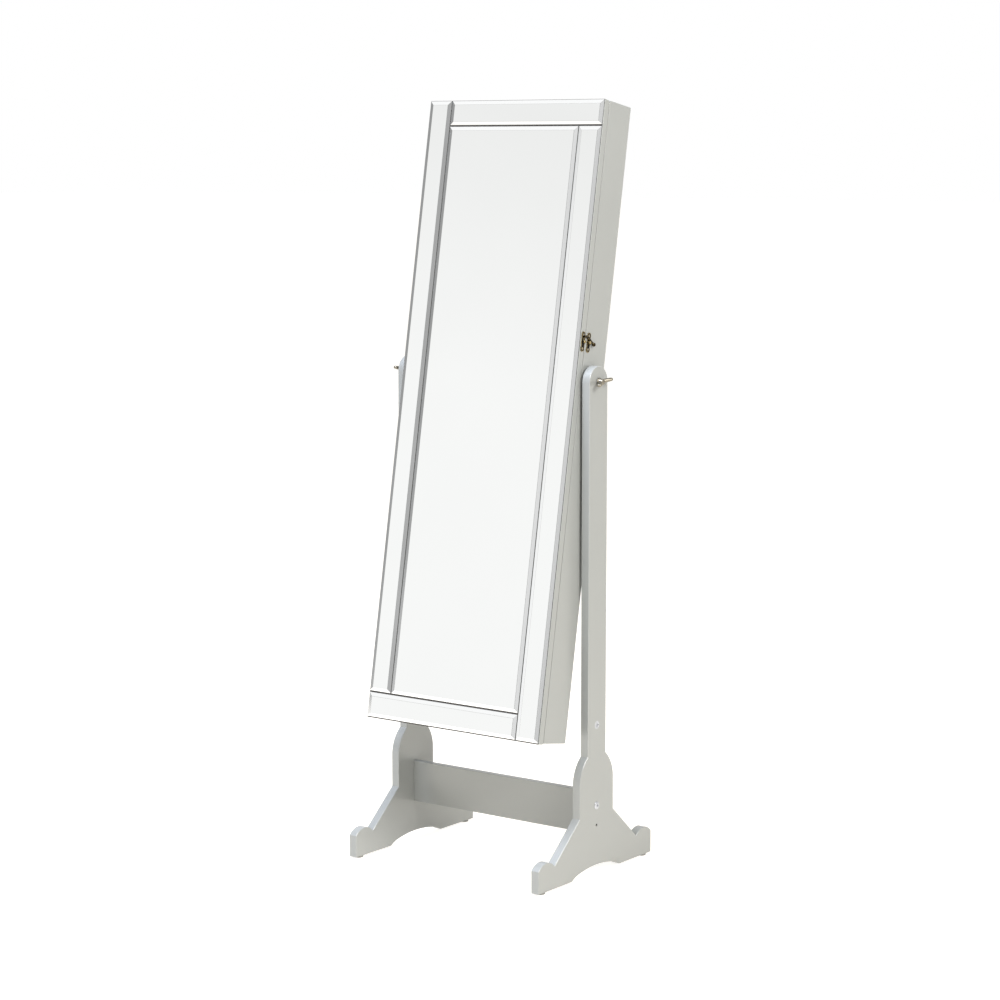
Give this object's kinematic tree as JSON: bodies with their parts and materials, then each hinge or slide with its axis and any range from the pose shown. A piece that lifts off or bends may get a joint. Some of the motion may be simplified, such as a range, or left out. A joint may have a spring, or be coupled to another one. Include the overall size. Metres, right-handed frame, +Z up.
{
  "type": "cheval floor mirror",
  "caption": "Tilting full-length mirror on a two-legged floor stand; its mirrored door opens on a shallow jewellery cabinet behind.",
  "frame": {"origin": "on the floor, midway between the four feet", "axes": "+X to the viewer's right when facing the mirror, +Y to the back, +Z up"},
  "size_m": [0.521, 0.396, 1.5334],
  "materials": {
    "silver_paint": "fibreboard, satin silver-grey paint",
    "back_board": "thin fibreboard, matt silver-grey paint",
    "velvet": "charcoal velveteen",
    "velvet_board": "board covered in charcoal velveteen",
    "cushion": "soft ring rolls in charcoal velveteen",
    "bare_wood": "bare beech",
    "mirror_glass": "polished, bevelled edges",
    "nickel": "satin nickel plate",
    "zinc_steel": "zinc-plated steel",
    "bronze": "antique bronze with rubbed highlights",
    "grey_plastic": "matt",
    "clear_rubber": "translucent"
  },
  "bodies": {
    "stand": {"foot_panel_left": "silver_paint", "foot_panel_right": "silver_paint", "post_left": "silver_paint", "post_right": "silver_paint", "stretcher": "silver_paint", "glides": "grey_plastic", "cam_locks": "nickel", "cam_bolts": "zinc_steel", "shoulder_dowels": "bare_wood", "stretcher_bolts": "nickel", "barrel_nuts": "zinc_steel", "stretcher_pins": "bare_wood", "post_bushes": "grey_plastic"},
    "wing_bolt_left": {"wing_bolt_left": "nickel"},
    "wing_bolt_right": {"wing_bolt_right": "nickel"},
    "cabinet": {"cabinet_side_left": "silver_paint", "cabinet_side_right": "silver_paint", "cabinet_top": "silver_paint", "cabinet_bottom": "silver_paint", "cabinet_back": "back_board", "back_lining": "velvet", "pivot_block_left": "bare_wood", "pivot_block_right": "bare_wood", "threaded_inserts": "zinc_steel", "pivot_spacers": "grey_plastic", "necklace_rail": "velvet_board", "necklace_hooks": "nickel", "shelf_1": "velvet_board", "shelf_2": "velvet_board", "shelf_3": "velvet_board", "shelf_rail_1": "velvet_board", "shelf_rail_2": "velvet_board", "shelf_rail_3": "velvet_board", "ring_cushion_left": "cushion", "ring_cushion_right": "cushion", "earring_strip_1": "velvet_board", "earring_strip_2": "velvet_board", "hinge_cabinet_leaf_1": "nickel", "hinge_cabinet_leaf_2": "nickel", "hinge_cabinet_leaf_3": "nickel", "hinge_pins": "nickel", "cabinet_screws": "zinc_steel", "carcass_dowels": "bare_wood", "latch_cabinet_plate": "bronze", "latch_pivot": "bronze"},
    "door": {"door_board": "silver_paint", "mirror_centre": "mirror_glass", "mirror_left": "mirror_glass", "mirror_right": "mirror_glass", "mirror_top": "mirror_glass", "mirror_bottom": "mirror_glass", "door_lining": "velvet", "hinge_door_leaf_1": "nickel", "hinge_door_leaf_2": "nickel", "hinge_door_leaf_3": "nickel", "door_screws": "zinc_steel", "latch_door_plate": "bronze", "latch_stud": "bronze", "door_bumpers": "clear_rubber"},
    "latch_arm": {"latch_arm": "bronze"}
  },
  "joints": [
    {"name": "cabinet_tilt", "type": "hinge", "parent": "stand", "child": "cabinet", "pos_m": [0, 0, 0.987], "axis": [-1, 0, 0], "range_deg": [-10, 20]},
    {"name": "door_swing", "type": "hinge", "parent": "cabinet", "child": "door", "pos_m": [-0.2154, -0.03191, 0.99263], "axis": [0, -0.1736, -0.9848], "range_deg": [0, 95]},
    {"name": "latch_lift", "type": "hinge", "parent": "cabinet", "child": "latch_arm", "pos_m": [0.217, -0.00242, 1.06257], "axis": [-1, 0, 0], "range_deg": [0, 80]},
    {"name": "wing_turn_left", "type": "hinge", "parent": "cabinet", "child": "wing_bolt_left", "pos_m": [-0.2375, 0, 0.987], "axis": [-1, 0, 0], "range_deg": [0, 360]},
    {"name": "wing_turn_right", "type": "hinge", "parent": "cabinet", "child": "wing_bolt_right", "pos_m": [0.2375, 0, 0.987], "axis": [1, 0, 0], "range_deg": [0, 360]}
  ]
}
